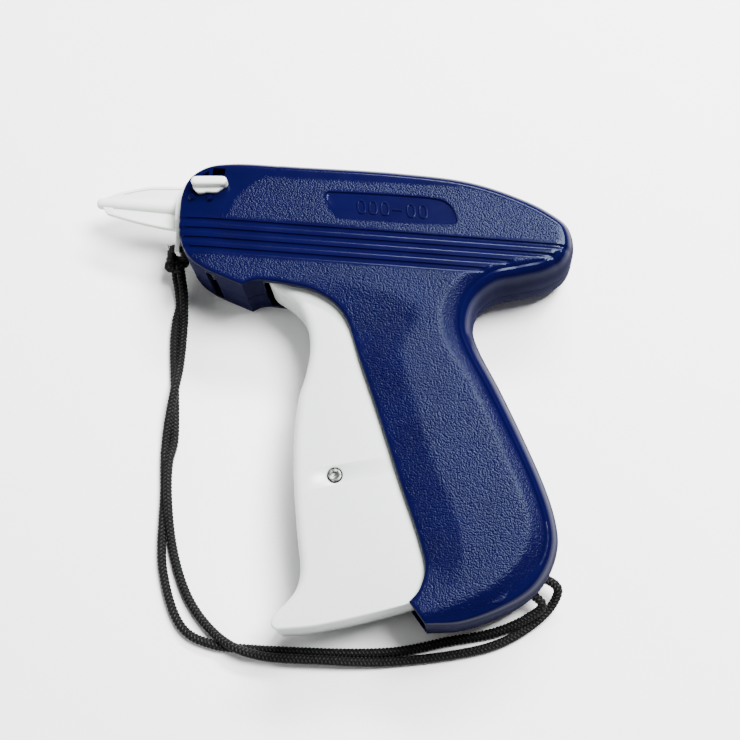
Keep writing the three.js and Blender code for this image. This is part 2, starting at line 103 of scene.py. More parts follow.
def make_floor():
    mesh = bpy.data.meshes.new("floor")
    corners = [(x * FLOOR_REACH, y * FLOOR_REACH, 0) for x, y in ((-1, -1), (1, -1), (1, 1), (-1, 1))]
    mesh.from_pydata(corners, [], [(0, 1, 2, 3)])
    floor = add_object("floor", mesh)
    floor.location.z = -FLOOR_DROP
    mesh.materials.append(Surface("floor", (0.95, 0.95, 0.95), 0.7, {"Specular IOR Level": 0.2}).material)


def make_lights():
    world = bpy.data.worlds.new("studio")
    world.use_nodes = True
    background = world.node_tree.nodes["Background"]
    background.inputs["Color"].default_value = (1, 1, 1, 1)
    background.inputs["Strength"].default_value = WORLD_STRENGTH
    scene.world = world
    for name, (place, size, watts) in LIGHTS.items():
        data = bpy.data.lights.new(name, "AREA")
        data.shape = "RECTANGLE"
        data.size, data.size_y = size
        data.energy = watts
        light = add_object(name, data)
        light.location = place
        light.rotation_euler = (-Vector(place)).to_track_quat("-Z", "Y").to_euler()


# ---------- lanyard ----------
CORD_DIAMETER = 2.5
CORD_REST = 1.55  # the centre line's height where the cord lies on the floor
CORD_ROUTE = [  # both strands in one loop, from the knot round the foot and back
    (-49.2, 42.2, 7.5), (-48.9, 40.3, 6.9), (-47.9, 36, 5.8), (-47.3, 31, 4), (-47, 25, 1.8),
    (-46.4, 10.5, 2.7), (-46.7, 2.9, 4.2), (-47.5, -5, 3.6), (-48, -16.5, 1.5), (-46.5, -30.5, 1.5),
    (-43.9, -55.8, 1.5), (-35.5, -73.4, 1.5), (-26.6, -77.4, 1.5), (-12.5, -78, 1.5), (30, -75.3, 1.5),
    (47.3, -70.6, 1.5), (60.5, -67, 1.8), (70.5, -62, 4.2), (74.8, -58, 7.4), (71.6, -55, 8),
    (68.6, -52.2, 8), (72.2, -50, 8), (76.5, -50.6, 8), (79.2, -52.6, 6.8), (77.6, -57.8, 3.4),
    (70.5, -65, 1.5), (59.5, -71.4, 1.5), (30, -78.3, 1.7), (8.2, -79.8, 3.5), (-10, -80, 3.7),
    (-19, -77.9, 4.1), (-27.5, -72.4, 2), (-34.8, -64, 1.5), (-41.2, -50, 1.5), (-44.8, -33, 3.8),
    (-46, -21.5, 2.8), (-45.4, -14.5, 1.5), (-47.4, 3.6, 1.5), (-49.5, 19, 1.5), (-49.7, 26, 1.5),
    (-49.1, 31, 1.5), (-49.9, 36, 3.1), (-51, 40.3, 4.6), (-51.3, 42.2, 5.6),
]


def between(t, low, high, a, b):
    """a where t is low and b where it is high."""
    return (high - t) / (high - low) * a + (t - low) / (high - low) * b


def catmull_rom(points, step):
    """A centripetal Catmull-Rom curve through the points, sampled at about that spacing."""
    pts = np.array(points, float)
    pts = np.vstack([2 * pts[0] - pts[1], pts, 2 * pts[-1] - pts[-2]])
    fine = []
    for p0, p1, p2, p3 in zip(pts, pts[1:], pts[2:], pts[3:]):
        t0 = 0.0
        t1 = t0 + np.linalg.norm(p1 - p0) ** 0.5
        t2 = t1 + np.linalg.norm(p2 - p1) ** 0.5
        t3 = t2 + np.linalg.norm(p3 - p2) ** 0.5
        t = np.linspace(t1, t2, 24, endpoint=False)[:, None]
        a = between(t, t1, t2, p1, p2)
        b1 = between(t, t0, t2, between(t, t0, t1, p0, p1), a)
        b2 = between(t, t1, t3, a, between(t, t2, t3, p2, p3))
        fine.append(between(t, t1, t2, b1, b2))
    fine = np.vstack(fine + [pts[-2][None]])
    return resample(fine, step)


def resample(line, step):
    """The same polyline with evenly spaced points."""
    lengths = np.linalg.norm(np.diff(line, axis=0), axis=1)
    along = np.concatenate([[0], np.cumsum(lengths)])
    count = max(2, int(round(along[-1] / step)) + 1)
    at = np.linspace(0, along[-1], count)
    return np.stack([np.interp(at, along, line[:, k]) for k in range(line.shape[1])], 1)


def new_object(name, verts, faces, material):
    """A smooth object from verts in millimetres."""
    mesh = bpy.data.meshes.new(name)
    mesh.from_pydata((verts * MM).tolist(), [], faces)
    mesh.materials.append(material)
    mesh.shade_smooth()
    return add_object(name, mesh)


def frames_along(line):
    """Two steady normals along a polyline."""
    tangents = np.gradient(line, axis=0)
    tangents /= np.linalg.norm(tangents, axis=1)[:, None]
    side = np.cross(tangents[0], (0, 0, 1.0))
    side /= np.linalg.norm(side)
    sides = []
    for tangent in tangents:
        side = side - tangent * (side @ tangent)
        side /= np.linalg.norm(side)
        sides.append(side.copy())
    sides = np.array(sides)
    return sides, np.cross(tangents, sides)


def ring_faces(rows, around):
    """Quads between neighbouring rings of points that are numbered ring by ring."""
    faces = []
    for row in range(rows - 1):
        for j in range(around):
            a, b = row * around + j, row * around + (j + 1) % around
            faces.append((a, b, b + around, a + around))
    return faces


def end_faces(rows, around):
    """The two faces that close such rings into a solid."""
    last = (rows - 1) * around
    return [tuple(range(around - 1, -1, -1)), tuple(range(last, last + around))]


def tube(line, angles, radii):
    """A closed tube along a polyline, with a radius for each ring or for each of its points."""
    sides, ups = frames_along(line)
    ring = line[:, None] + radii[..., None] * (
        np.cos(angles)[None, :, None] * sides[:, None] + np.sin(angles)[None, :, None] * ups[:, None]
    )
    rows, around = len(line), len(angles)
    return ring.reshape(-1, 3), ring_faces(rows, around) + end_faces(rows, around)


def round_tube(line, radius, around=12):
    """A closed round tube along a polyline."""
    radii = np.broadcast_to(radius, len(line))
    return tube(line, np.arange(around) / around * 2 * np.pi, radii[:, None])


BRAID = {
    "around": 32, "step": 0.2,  # points round the cord, and their spacing along it
    "strands": 8, "pitch": 4.8,  # a strand goes once round in one pitch
    "depth": 0.24,  # of the radius, from a strand's crown to the valley beside it
}


def braided_tube(line, radius):
    """Verts, faces and strand crowns of a tube of crossing strands that pass over and under."""
    line = resample(line, BRAID["step"])
    along = np.arange(len(line)) * BRAID["step"]
    angles = np.arange(BRAID["around"]) / BRAID["around"] * 2 * np.pi
    phase = along[:, None] / BRAID["pitch"] * 2 * np.pi
    half = BRAID["strands"] / 2
    right = half * (angles[None, :] - phase)
    left = half * (angles[None, :] + phase)
    over = smoothstep(-0.5, 0.5, np.cos(half * angles))[None, :]
    crown = np.cos(right / 2) ** 2 * over + np.cos(left / 2) ** 2 * (1 - over)
    radii = radius * (1 - 0.2 * BRAID["depth"] + BRAID["depth"] * crown)
    return *tube(line, angles, radii), crown.ravel()


def store(obj, name, values):
    """Keeps one value for each vertex, for the material to read."""
    attribute = obj.data.attributes.new(name, "FLOAT", "POINT")
    attribute.data.foreach_set("value", values.astype(np.float32))


def braided_object(name, tubes, material, plain=()):
    """An object of braided tubes, and of plain parts, that knows where its strands' crowns are."""
    parts = [(verts, faces) for verts, faces, _ in tubes] + list(plain)
    obj = new_object(name, *merged(*parts), material)
    crown = np.concatenate([c for _, _, c in tubes] + [np.full(len(verts), 0.2) for verts, _ in plain])
    store(obj, "crown", crown)
    return obj


# ---------- materials ----------
class Surface:
    """A principled material and short calls that add nodes to it."""

    def __init__(self, name, colour, roughness, sockets):
        self.material = bpy.data.materials.new(name)
        self.material.use_nodes = True
        self.nodes = self.material.node_tree.nodes
        self.links = self.material.node_tree.links
        self.shader = self.nodes["Principled BSDF"]
        for socket, value in {"Base Color": (*colour, 1), "Roughness": roughness, **sockets}.items():
            self.shader.inputs[socket].default_value = value
        self.place = self.nodes.new("ShaderNodeTexCoord").outputs["Object"]

    def add(self, kind, inputs):
        """A new node; each input is a number or another node's output."""
        node = self.nodes.new("ShaderNode" + kind)
        for key, value in inputs.items():
            if isinstance(value, (int, float)):
                node.inputs[key].default_value = value
            else:
                self.links.new(value, node.inputs[key])
        return node

    def math(self, operation, a, b, clamp=False):
        node = self.add("Math", {0: a, 1: b})
        node.operation = operation
        node.use_clamp = clamp
        return node.outputs[0]

    def scaled(self, value, gain, base=0.0):
        """value * gain + base."""
        product = self.math("MULTIPLY", value, gain)
        return self.math("ADD", product, base) if base else product

    def noise(self, size, detail=2, roughness=0.5, distortion=0):
        """Noise with features of about that size in millimetres."""
        return self.add("TexNoise", {
            "Vector": self.place, "Scale": 1 / (size * MM), "Detail": detail,
            "Roughness": roughness, "Distortion": distortion,
        }).outputs["Fac"]

    def cells(self, size, smooth):
        """The distance from the middles of cells of about that size in millimetres."""
        node = self.add("TexVoronoi", {"Vector": self.place, "Scale": 1 / (size * MM)})
        node.feature = "SMOOTH_F1"
        node.inputs["Smoothness"].default_value = smooth
        return node.outputs["Distance"]

    def ramp(self, value, stops):
        """Each stop is (position, colour)."""
        node = self.add("ValToRGB", {"Fac": value})
        elements = node.color_ramp.elements
        elements.remove(elements[1])
        elements[0].position = stops[0][0]
        for position, _ in stops[1:]:
            elements.new(position)
        for element, (_, shade) in zip(elements, stops):
            element.color = (*shade, 1)
        return node.outputs["Color"]

    def attribute(self, name):
        node = self.nodes.new("ShaderNodeAttribute")
        node.attribute_name = name
        return node.outputs["Fac"]

    def bump(self, height, depth):
        """A relief that is depth millimetres high where the height is 1."""
        node = self.add("Bump", {"Strength": 1, "Distance": depth * MM, "Height": height})
        self.links.new(node.outputs["Normal"], self.shader.inputs["Normal"])

    def colour(self, value):
        self.links.new(value, self.shader.inputs["Base Color"])

    def roughness(self, value):
        self.links.new(value, self.shader.inputs["Roughness"])


def shell_blue():
    """Moulded ABS: grained where the grain attribute is 1, duller where wall is 1, polished elsewhere."""
    s = Surface("shell_blue", (0.0014, 0.0010, 0.019), 0.35, {
        "Specular IOR Level": 0.085, "Specular Tint": (0.62, 0.78, 1.0, 1),
    })
    grain, wall = s.attribute("grain"), s.attribute("wall")
    dark, light = (0.0012, 0.0008, 0.0165), (0.0016, 0.0011, 0.0215)
    s.colour(s.ramp(s.noise(14, 3), [(0.3, dark), (0.7, light)]))
    pebble = s.cells(0.52, 0.15)
    dome = s.scaled(s.math("MULTIPLY", pebble, pebble), -1.0)
    wrinkle = s.scaled(s.noise(0.28, 2, 0.5, 1.0), 0.45)
    leather = s.math("MULTIPLY", s.math("ADD", dome, wrinkle), grain)
    ripple = s.scaled(s.noise(0.9, 2), 0.02)
    s.bump(s.math("ADD", leather, ripple), 0.115)
    polish = s.scaled(s.noise(5, 4), 0.10, 0.14)
    s.roughness(s.math("ADD", s.scaled(grain, 0.04), s.math("ADD", polish, s.scaled(wall, 0.75)), True))
    return s.material


def white_plastic(name, colour, roughness=0.3):
    """Moulded acetal: faint flow marks, a little sink and fine scuffs."""
    s = Surface(name, colour, roughness, {
        "Specular IOR Level": 0.45, "Subsurface Weight": 0.12,
        "Subsurface Radius": (0.003, 0.003, 0.0026), "Subsurface Scale": 0.6,
    })
    shade = tuple(c * 0.965 for c in colour)
    s.colour(s.ramp(s.noise(22, 3), [(0.3, shade), (0.7, colour)]))
    s.roughness(s.scaled(s.noise(3, 5), 0.16, roughness - 0.08))
    sink, scuffs = s.scaled(s.noise(9, 2), 0.6), s.scaled(s.noise(0.5, 3), 0.05)
    s.bump(s.math("ADD", sink, scuffs), 0.05)
    return s.material


def metal(name, colour, roughness, mottle=0.2):
    """Bare metal; mottle is how much darker its stains are."""
    s = Surface(name, colour, roughness, {"Metallic": 1.0})
    dark = tuple(c * (1 - mottle) for c in colour)
    s.colour(s.ramp(s.noise(0.7, 4, 0.7), [(0.35, dark), (0.65, colour)]))
    s.roughness(s.scaled(s.noise(1.1, 4), 0.3, roughness - 0.12))
    s.bump(s.noise(0.35, 3), 0.02)
    return s.material


def braid_black():
    """Polyester braid: black, paler on the strands' crowns, where painted highlights stand in for the light
    the crowns catch.
    """
    s = Surface("cord_black", (0.0015, 0.0015, 0.0017), 0.75, {"Specular IOR Level": 0.1})
    # painted highlight: the colour turns pale grey on the strands' crowns, whatever the lamps do
    crown_glint = s.math("MULTIPLY", s.attribute("crown"), s.math("ADD", s.noise(0.45, 3, 0.7), 0.45))
    black, thread, glint = (0.0008, 0.0008, 0.0009), (0.0035, 0.0035, 0.0038), (0.035, 0.035, 0.035)
    s.colour(s.ramp(crown_glint, [(0.4, black), (0.66, thread), (0.95, glint)]))
    s.bump(s.noise(0.2, 3), 0.05)
    return s.material


# ---------- outlines and solids ----------
def side_distance(points, line):
    """Signed distance to an open polyline: positive on its left."""
    best = np.full(len(points), 1e9)
    sign = np.ones(len(points))
    for start, end in zip(line, line[1:]):
        edge = end - start
        rel = points - start
        t = np.clip(rel @ edge / (edge @ edge), 0, 1)
        gap = rel - t[:, None] * edge
        distance = np.hypot(gap[:, 0], gap[:, 1])
        closer = distance < best - 1e-9
        best = np.where(closer, distance, best)
        cross = edge[0] * rel[:, 1] - edge[1] * rel[:, 0]
        sign = np.where(closer, np.where(cross >= 0, 1.0, -1.0), sign)
    return best * sign


def inside(points, polygon):
    """Whether each point is inside a polygon, by the even-odd rule."""
    x, y = points[:, 0], points[:, 1]
    hit = np.zeros(len(points), bool)
    for (x0, y0), (x1, y1) in zip(polygon, np.roll(polygon, -1, 0)):
        if y0 == y1:
            continue
        crosses = (y0 > y) != (y1 > y)
        hit ^= crosses & (x < (x1 - x0) * (y - y0) / (y1 - y0) + x0)
    return hit


def ring_distance(points, polygon):
    """Distance to a closed polygon, positive inside."""
    closed = np.vstack([polygon, polygon[:1]])
    distance = np.abs(side_distance(points, closed))
    return np.where(inside(points, polygon), distance, -distance)


def smoothstep(low, high, x):
    t = np.clip((x - low) / (high - low), 0, 1)
    return t * t * (3 - 2 * t)


def soft_ramp(x, width):
    """Rises at 45 degrees from 0, with a rounded start."""
    return 0.5 * (x + np.sqrt(x * x + width * width)) - width / 2


def stretch(points, border=0.8, is_open=False):
    """A smooth piece of an outline. Its points are (x, y), or (x, y, border) for another border."""
    return [(*point, border)[:3] for point in points], is_open


class Outline:
    """A closed counterclockwise outline made of stretches."""

    def __init__(self, stretches, step):
        lines = [catmull_rom(points, step)[:-1] for points, _ in stretches]
        rows = np.vstack(lines)
        self.xy, self.border = rows[:, :2], rows[:, 2]
        self.open = np.repeat([is_open for _, is_open in stretches], [len(line) for line in lines])
        ahead = np.roll(self.xy, -1, 0) - self.xy
        ahead /= np.linalg.norm(ahead, axis=1)[:, None]
        behind = np.roll(ahead, 1, 0)
        inward = np.stack([-ahead[:, 1] - behind[:, 1], ahead[:, 0] + behind[:, 0]], 1)
        inward /= np.linalg.norm(inward, axis=1)[:, None]
        spread = -inward[:, 0] * ahead[:, 1] + inward[:, 1] * ahead[:, 0]
        self.inward = inward / np.maximum(0.6, spread)[:, None]

    def shifted(self, shift):
        """The outline moved inwards by one distance, or by one for each point."""
        return self.xy + self.inward * np.broadcast_to(shift, len(self.xy))[:, None]


def stack_rings(rings):
    """Verts and faces of closed rings of equal length, each (xy, z)."""
    verts = np.vstack([np.column_stack([xy, np.broadcast_to(z, len(xy))]) for xy, z in rings])
    return verts, ring_faces(len(rings), len(rings[0][0]))


def flat_face(ring, z):
    """A triangulated level face inside a ring."""
    flat, triangles = triangulate(ring)
    return np.column_stack([flat, np.full(len(flat), z)]), triangles


EDGE_GAP = 0.3  # lines and dots end this far inside a ring
GRID_ROW = 0.866  # a triangular grid's row spacing, in pitches


def triangulate(ring, lines=(), dots=(), pitch=None):
    """Triangles that fill the ring, with edges along the lines and a grid of points between them."""
    points, fixed, edges = [ring], [ring], []
    count = len(ring)
    for line in lines:
        keep = ring_distance(line, ring) > EDGE_GAP
        runs = np.split(np.arange(len(line)), np.flatnonzero(np.diff(keep.astype(int))) + 1)
        for run in runs:
            if keep[run[0]] and len(run) > 1:
                points.append(line[run])
                fixed.append(resample(line[run], EDGE_GAP))
                edges += [(count + i, count + i + 1) for i in range(len(run) - 1)]
                count += len(run)
    for dot in dots:
        dot = dot[ring_distance(dot, ring) > EDGE_GAP]
        points.append(dot)
        fixed.append(dot)
    if pitch:
        low, high = ring.min(0), ring.max(0)
        xs = np.arange(low[0], high[0], pitch)
        ys = np.arange(low[1], high[1], pitch * GRID_ROW)
        grid = np.array([(x + (row % 2) * pitch / 2, y) for row, y in enumerate(ys) for x in xs])
        grid += rng.uniform(-0.08, 0.08, grid.shape) * pitch
        grid = grid[ring_distance(grid, ring) > pitch * 0.45]
        near = np.vstack(fixed)
        points.append(np.array([p for p in grid if np.hypot(*(near - p).T).min() > pitch * 0.5]))
    flat = np.vstack(points)
    made = delaunay_2d_cdt([Vector(p) for p in flat], edges, [list(range(len(ring)))], 1, 1e-6)
    return np.array([tuple(p) for p in made[0]]), made[2]


def shade(mesh, sharp):
    """Smooth shading that breaks at edges sharper than that many degrees."""
    mesh.shade_smooth()
    mesh.set_sharp_from_angle(angle=math.radians(sharp))


def solid_object(name, parts, material, sharp=35):
    """Joins (verts, faces) parts, welds them and turns the faces outwards."""
    mesh = bpy.data.meshes.new(name)
    work = bmesh.new()
    for verts, faces in parts:
        made = [work.verts.new(v) for v in np.array(verts, float)]
        for face in faces:
            work.faces.new([made[i] for i in face])
    bmesh.ops.remove_doubles(work, verts=work.verts, dist=1e-4)
    bmesh.ops.dissolve_degenerate(work, edges=work.edges, dist=1e-5)
    bmesh.ops.recalc_face_normals(work, faces=work.faces)
    bmesh.ops.scale(work, vec=(MM, MM, MM), verts=work.verts)
    work.to_mesh(mesh)
    work.free()
    mesh.materials.append(material)
    shade(mesh, sharp)
    return add_object(name, mesh)


def merged(*parts):
    """One (verts, faces) from several."""
    verts, faces, count = [], [], 0
    for more, shapes in parts:
        verts.append(more)
        faces += [tuple(i + count for i in face) for face in shapes]
        count += len(more)
    return np.vstack(verts), faces


def combine(obj, parts, operation, sharp=35):
    """Applies an exact boolean with closed (verts, faces) parts that don't touch each other."""
    cutter = solid_object("cutter", parts, obj.data.materials[0])
    modifier = obj.modifiers.new("combine", "BOOLEAN")
    modifier.operation = operation
    modifier.solver = "EXACT"
    modifier.object = cutter
    graph = bpy.context.evaluated_depsgraph_get()
    mesh = bpy.data.meshes.new_from_object(obj.evaluated_get(graph))
    obj.modifiers.clear()
    old, name = obj.data, obj.data.name
    obj.data = mesh
    bpy.data.meshes.remove(old)
    mesh.name = name
    bpy.data.objects.remove(cutter)
    shade(mesh, sharp)


def box(low, high):
    """A block between two corners."""
    x, y, z = zip(low, high)
    corners = [(x[i], y[j], z[k]) for k in (0, 1) for j in (0, 1) for i in (0, 1)]
    return corners, [(0, 2, 3, 1), (4, 5, 7, 6), (0, 1, 5, 4), (2, 6, 7, 3), (0, 4, 6, 2), (1, 3, 7, 5)]


def prism(points, low, high):
    """An upright solid with that flat outline."""
    n = len(points)
    verts = [(x, y, z) for z in (low, high) for x, y in points]
    return verts, end_faces(2, n) + ring_faces(2, n)


UPWARDS = (0, 0, 1)


def lathe(profile, centre, axis, sides=40):
    """A closed solid of (radius, along) points round an axis; radius 0 closes an end."""
    centre, axis = np.array(centre, float), np.array(axis, float)
    side = np.cross(axis, (0.31, 0.23, 0.92))
    side /= np.linalg.norm(side)
    up = np.cross(axis, side)
    angle = np.arange(sides) / sides * 2 * np.pi
    circle = np.cos(angle)[:, None] * side + np.sin(angle)[:, None] * up
    verts, rows = [], []
    for radius, along in profile:
        count = sides if radius else 1
        rows.append([len(verts) + i % count for i in range(sides)])
        verts += list(centre + along * axis + radius * circle[:count])
    faces = []
    for low, high in zip(rows, rows[1:]):
        for i in range(sides):
            j = (i + 1) % sides
            corners = tuple(dict.fromkeys((low[i], low[j], high[j], high[i])))
            if len(corners) > 2:
                faces.append(corners)
    return np.array(verts), faces


def post(at, radius, low, high):
    """An upright cylinder."""
    return lathe([(0, low), (radius, low), (radius, high), (0, high)], (*at, 0), UPWARDS)


def bar(start, end, radius):
    """A cylinder between two points."""
    start, end = np.array(start, float), np.array(end, float)
    length = np.linalg.norm(end - start)
    return lathe([(0, 0), (radius, 0), (radius, length), (0, length)], start, (end - start) / length, 32)


def slab(outline, low, high, round_low, round_high, steps):
    """An upright plate with rounded edges."""
    rings = []
    for a in np.linspace(math.pi / 2, 0, steps):
        inset, rise = round_low * (1 - math.cos(a)), round_low * (1 - math.sin(a))
        rings.append((outline.shifted(inset), low + rise))
    for a in np.linspace(0, math.pi / 2, steps):
        inset, drop = round_high * (1 - math.cos(a)), round_high * (1 - math.sin(a))
        rings.append((outline.shifted(inset), high - drop))
    return [stack_rings(rings)] + [flat_face(ring, np.mean(z)) for ring, z in (rings[0], rings[-1])]


def capsule(start, end, radius):
    """The outline of a bar with round ends, counterclockwise."""
    start, end = np.array(start, float), np.array(end, float)
    heading = math.atan2(*(end - start)[::-1])
    turns = heading + np.linspace(-math.pi / 2, math.pi / 2, 12)
    arc = radius * np.stack([np.cos(turns), np.sin(turns)], 1)
    return np.vstack([end + arc, start - arc])


def stroke(line, width, low, high, closed):
    """A raised line with a rounded top along a flat path, as a closed solid."""
    line = np.array(line, float)
    ahead = np.roll(line, -1, 0) - np.roll(line, 1, 0) if closed else np.gradient(line, axis=0)
    ahead /= np.linalg.norm(ahead, axis=1)[:, None]
    side = np.stack([-ahead[:, 1], ahead[:, 0]], 1)
    half = width / 2
    profile = [(-half, low), (-half, high - 0.4 * half), (-0.7 * half, high - 0.1 * half), (0, high),
               (0.7 * half, high - 0.1 * half), (half, high - 0.4 * half), (half, low)]
    n, around = len(line), len(profile)
    verts = [(*(p + o * s), z) for p, s in zip(line, side) for o, z in profile]
    faces = [tuple(i % len(verts) for i in face) for face in ring_faces(n + closed, around)]
    return verts, faces if closed else faces + end_faces(n, around)


# ---------- half shells ----------
HOUSING = [  # from the muzzle under the nose, along the handle and round
    stretch([(-47.9, 54), (-47.1, 47), (-43.5, 39.8), (-38, 35.9), (-31.5, 33.3), (-24.8, 31)]),
    stretch([(-24.8, 31), (-22, 32.6), (-18.5, 33.2)]),
    stretch([(-18.5, 33.2), (-10, 32.5), (-2, 31), (4.7, 27.4), (9.1, 22), (14.1, 9.8), (21.9, -8.6),
             (29.5, -27.4), (36.6, -44.2), (38.9, -52.5), (37.6, -59), (35, -62.6)], is_open=True),
    stretch([(35, -62.6), (38.2, -66.4), (40.3, -68.9)], is_open=True),
    stretch([(40.3, -68.9), (50.4, -67.7, 1.6), (62.1, -62.9, 2.4), (71.5, -56.6, 3.4), (76.2, -49.5, 4),
             (78, -41.4, 4.2), (76.9, -34, 4.3), (73.2, -24.1, 4.3), (65.6, -9, 4.4), (57.6, 5.5, 4.6),
             (50.5, 17.5, 4.7), (47.9, 24.5, 4.8), (49, 31.5, 4.8), (54.3, 36.6, 4.8), (62, 39, 4.8),
             (70, 41.6, 4.6), (75.6, 45.8, 4.4), (77.6, 52, 4.2), (75.6, 58.8, 4), (69.4, 63.4, 3.8),
             (59.7, 67.6, 3.6), (43.5, 72, 3.6), (21, 73.5, 3.4), (-11.3, 73.5, 3.2), (-33, 72.9, 2.6),
             (-41, 70.4, 1.4), (-46, 66.2, 0.9), (-47.9, 60.5), (-47.9, 54)]),
]
BORDER_RISE = 2.2  # the border falls this many times its width
CEILING = THICK - WALL  # the shell's inner face
RIM = MID + PARTING / 2  # its edge at the parting plane

# The fingers' facet falls away from this line to the front edge of the handle.
FINGER_LINE = [(-16, 31.5), (-6, 34), (3, 34.3), (12, 33.1), (23.8, 30.7), (29.6, 27.6), (31, 23.5),
               (27.4, 16.5), (26.6, 11.5), (28.2, 7), (34, -8.4), (38.5, -19.8), (43.1, -29.2),
               (46.7, -36.5), (49.4, -46.2), (49.4, -53.6), (47.2, -57.8), (41.5, -62.8), (35, -68)]
FINGER_SLOPE = math.tan(math.radians(8.5))
# The palm's border falls away from this line to the strap along the handle's back.
PALM_LINE = [(79, 53.5), (74.5, 49.9), (70.3, 47.2), (57.4, 44.2), (49.7, 41.4), (44.5, 39.6),
             (40, 34.5), (37.6, 26.6), (38.8, 19.2), (48.1, 5.6), (55.1, -7), (61.9, -20.4), (67.2, -31.5),
             (68.8, -38.9), (67.1, -46.4), (62, -53.5), (53.5, -59.8), (46, -63.6), (38, -66.5), (33, -68)]
PALM_SLOPE = math.tan(math.radians(26))
# The nose is polished in front of this line.
NOSE_LINE = [(-12, 76), (-16.5, 71), (-21.4, 68), (-25.9, 65), (-28.9, 62), (-31, 59), (-31.9, 56),
             (-32.8, 54), (-36, 53.3), (-52, 53.1)]
POLISHED_STEP = 0.2  # the polished nose lies this much below the grained face
NOSE_TAPER = {"start": -35.4, "length": 12.5, "drop": 1.5}
GROOVE = {"top": 51.5, "pitch": 3.15, "tilt": -0.0125, "ends": (74.6, 72.2, 59.1, 51.4)}
# Across a groove, downwards from its middle: (place, depth).
GROOVE_PROFILE = [(-0.72, 0), (-0.5, 0.45), (-0.2, 0.55), (0.3, 0.5), (0.62, 0.2), (1.35, 0)]
PANEL = [(-1.7, 63.2), (-0.9, 64), (0.5, 64.1), (34, 63.8), (36.5, 63), (38.6, 61.3), (40.1, 58.6),
         (40.5, 56.3), (39.9, 55.8), (6, 55.3), (3.6, 55.5), (1.6, 57), (-0.2, 59.8), (-1.7, 62)]
PANEL_HALF = (21, 4.4)
PANEL_DEPTH = 0.5
DETENTS = [(-44.3, 59.5), (-38.2, 59.4)]
DETENT = {"height": 0.95, "top": 0.75, "foot": 1.25}
CREASE = {"depth": 0.32, "width": 0.5}  # between the grained face and the strap
STRAP_SWELL = 0.16
SCREWS = [(-14, 68), (62, 56.5), (40.5, 15.5), (60, -57.2)]
TRIGGER_PIVOT = (-6, 50)
FEED_AXLE = (-27.5, 47.2)
PAWL_PIVOT = (-16, 54.6)
LEVER_PIVOT = (-41.3, 62.6)


def groove_drop(points, row):
    """How far below the middle of a groove each point is."""
    return GROOVE["top"] - row * GROOVE["pitch"] + GROOVE["tilt"] * points[:, 0] - points[:, 1]


def groove_depth(points):
    """How deep the grooves are at each point; each one runs out at its end."""
    depth = np.zeros(len(points))
    at, deep = zip(*GROOVE_PROFILE)
    for row, end in enumerate(GROOVE["ends"]):
        fade = smoothstep(0, 2.2, end - points[:, 0])
        depth = np.maximum(depth, np.interp(groove_drop(points, row), at, deep, left=0, right=0) * fade)
    return depth


class Face:
    """The relief of a side face: how deep it lies below the flat, and where it is grained."""

    def __init__(self, ring, bumps):
        self.ring = ring
        self.bumps = bumps
        self.finger = catmull_rom(FINGER_LINE, 2)
        self.palm = catmull_rom(PALM_LINE, 2)
        self.nose = catmull_rom(NOSE_LINE, 2)
        self.panel = resample(np.vstack([catmull_rom(PANEL, 0.6), PANEL[:1]]), 0.6)[:-1]

    def depth(self, points):
        """How far below the flat each point lies."""
        finger = FINGER_SLOPE * soft_ramp(-side_distance(points, self.finger), 0.7)
        palm = PALM_SLOPE * soft_ramp(side_distance(points, self.palm), 0.5)
        ahead = (NOSE_TAPER["start"] - points[:, 0]) / NOSE_TAPER["length"]
        nose = NOSE_TAPER["drop"] * np.clip(ahead, 0, 1) ** 2
        front = POLISHED_STEP * (1 - smoothstep(-0.5, 0.5, side_distance(points, self.nose)))
        sunk = PANEL_DEPTH * smoothstep(0, 0.4, ring_distance(points, self.panel))
        depth = finger + palm + nose + front + sunk + groove_depth(points)
        for x, y in self.bumps:
            r = np.hypot(points[:, 0] - x, points[:, 1] - y)
            depth -= DETENT["height"] * (1 - smoothstep(DETENT["top"], DETENT["foot"], r))
        return depth

    def grain(self, points):
        """1 where the face is grained, 0 where it is polished."""
        mask = smoothstep(-0.3, 0.6, side_distance(points, self.nose))
        mask *= 1 - smoothstep(-0.5, 0.1, ring_distance(points, self.panel))
        for row, end in enumerate(GROOVE["ends"]):
            off = np.abs(groove_drop(points, row) - 0.1)
            mask *= 1 - (1 - smoothstep(1.4, 1.8, off)) * smoothstep(-0.8, 0.4, end - points[:, 0])
        top_band = np.interp(points[:, 0], (12, 48), (2.2, 0)) * (points[:, 1] > 60)
        return mask * smoothstep(0, 0.7, ring_distance(points, self.ring) - top_band)

    def lines(self):
        """Edges that the mesh follows."""
        found = [self.palm, self.finger, self.panel]
        for inset in (0.2, 0.4):
            centre = self.panel.mean(0)
            found.append(centre + (self.panel - centre) * (1 - inset / np.array(PANEL_HALF)))
        for row, end in enumerate(GROOVE["ends"]):
            for below, _ in GROOVE_PROFILE:
                xs = np.concatenate([np.arange(-47, end - 3, 2.2), np.linspace(end - 2.6, end + 0.2, 8)])
                ys = GROOVE["top"] - row * GROOVE["pitch"] + GROOVE["tilt"] * xs - below
                found.append(np.stack([xs, ys], 1))
        return found

    def dots(self):
        """Extra points round the small domes."""
        found = []
        rings = ((0.0, 1), (0.4, 8), (DETENT["top"], 14), (0.92, 18), (1.08, 20), (DETENT["foot"], 22))
        for x, y in self.bumps:
            for r, count in rings:
                angle = np.arange(count) / count * 2 * np.pi
                found.append(np.stack([x + r * np.cos(angle), y + r * np.sin(angle)], 1))
        return found


def crease_depth(strap, inset):
    """The crease where the strap meets the face, at that distance from their line."""
    return CREASE["depth"] * strap * np.exp(-((inset / CREASE["width"]) ** 2))


